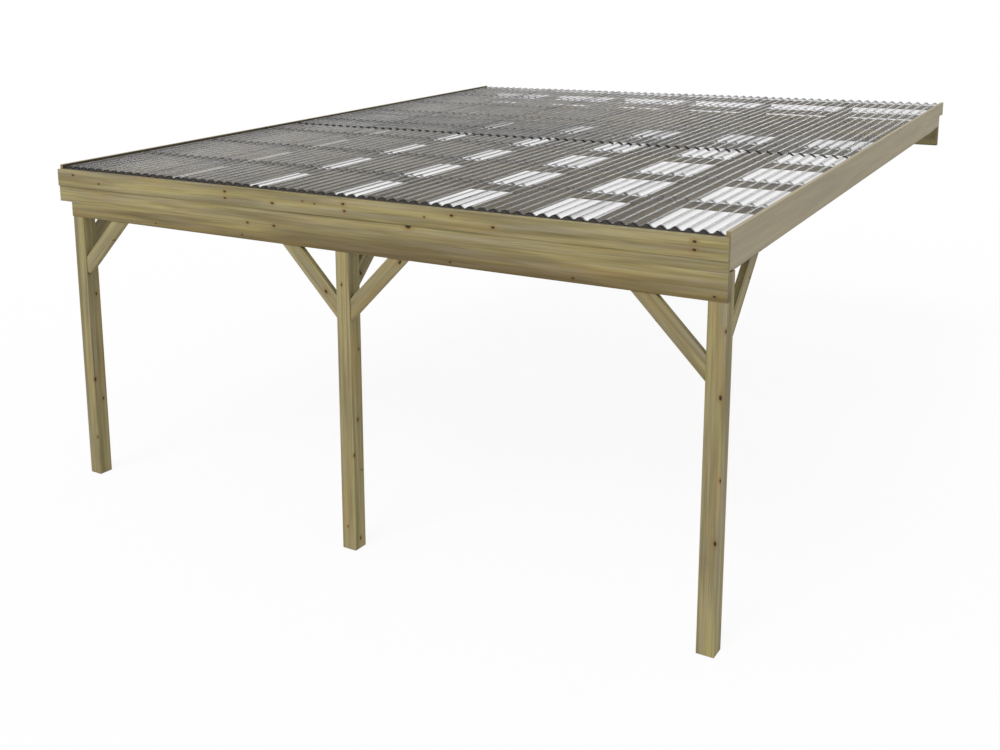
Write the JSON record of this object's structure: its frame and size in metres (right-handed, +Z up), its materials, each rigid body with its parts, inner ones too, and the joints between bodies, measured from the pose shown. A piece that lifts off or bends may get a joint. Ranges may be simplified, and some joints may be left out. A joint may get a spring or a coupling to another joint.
{
  "type": "lean-to carport",
  "caption": "Open timber carport with a low-pitched roof of translucent corrugated sheets, carried by square front posts with knee braces and by a plate on a wall",
  "frame": {"origin": "middle of the wall plate's rear face, which lies against the wall", "axes": "+X to the right seen from the front, +Y from the front posts into the wall, +Z up"},
  "size_m": [5.85, 6.885, 2.9943],
  "materials": {
    "timber": "planed, pressure treated",
    "roof_sheet": "translucent, glossy"
  },
  "bodies": {
    "root": {"left_post": "timber", "middle_post": "timber", "right_post": "timber", "front_beam": "timber", "wall_plate": "timber", "fascia_board": "timber", "left_verge_board": "timber", "right_verge_board": "timber", "left_post_brace": "timber", "middle_post_left_brace": "timber", "middle_post_right_brace": "timber", "right_post_brace": "timber", "left_rafter_brace": "timber", "middle_rafter_brace": "timber", "right_rafter_brace": "timber", "rafter_1": "timber", "rafter_2": "timber", "rafter_3": "timber", "rafter_4": "timber", "rafter_5": "timber", "rafter_6": "timber", "rafter_7": "timber", "batten_1": "timber", "batten_2": "timber", "batten_3": "timber", "batten_4": "timber", "batten_5": "timber", "batten_6": "timber", "batten_7": "timber", "batten_8": "timber", "batten_9": "timber", "front_sheet_1": "roof_sheet", "front_sheet_2": "roof_sheet", "front_sheet_3": "roof_sheet", "front_sheet_4": "roof_sheet", "front_sheet_5": "roof_sheet", "front_sheet_6": "roof_sheet", "rear_sheet_1": "roof_sheet", "rear_sheet_2": "roof_sheet", "rear_sheet_3": "roof_sheet", "rear_sheet_4": "roof_sheet", "rear_sheet_5": "roof_sheet", "rear_sheet_6": "roof_sheet"}
  },
  "joints": []
}
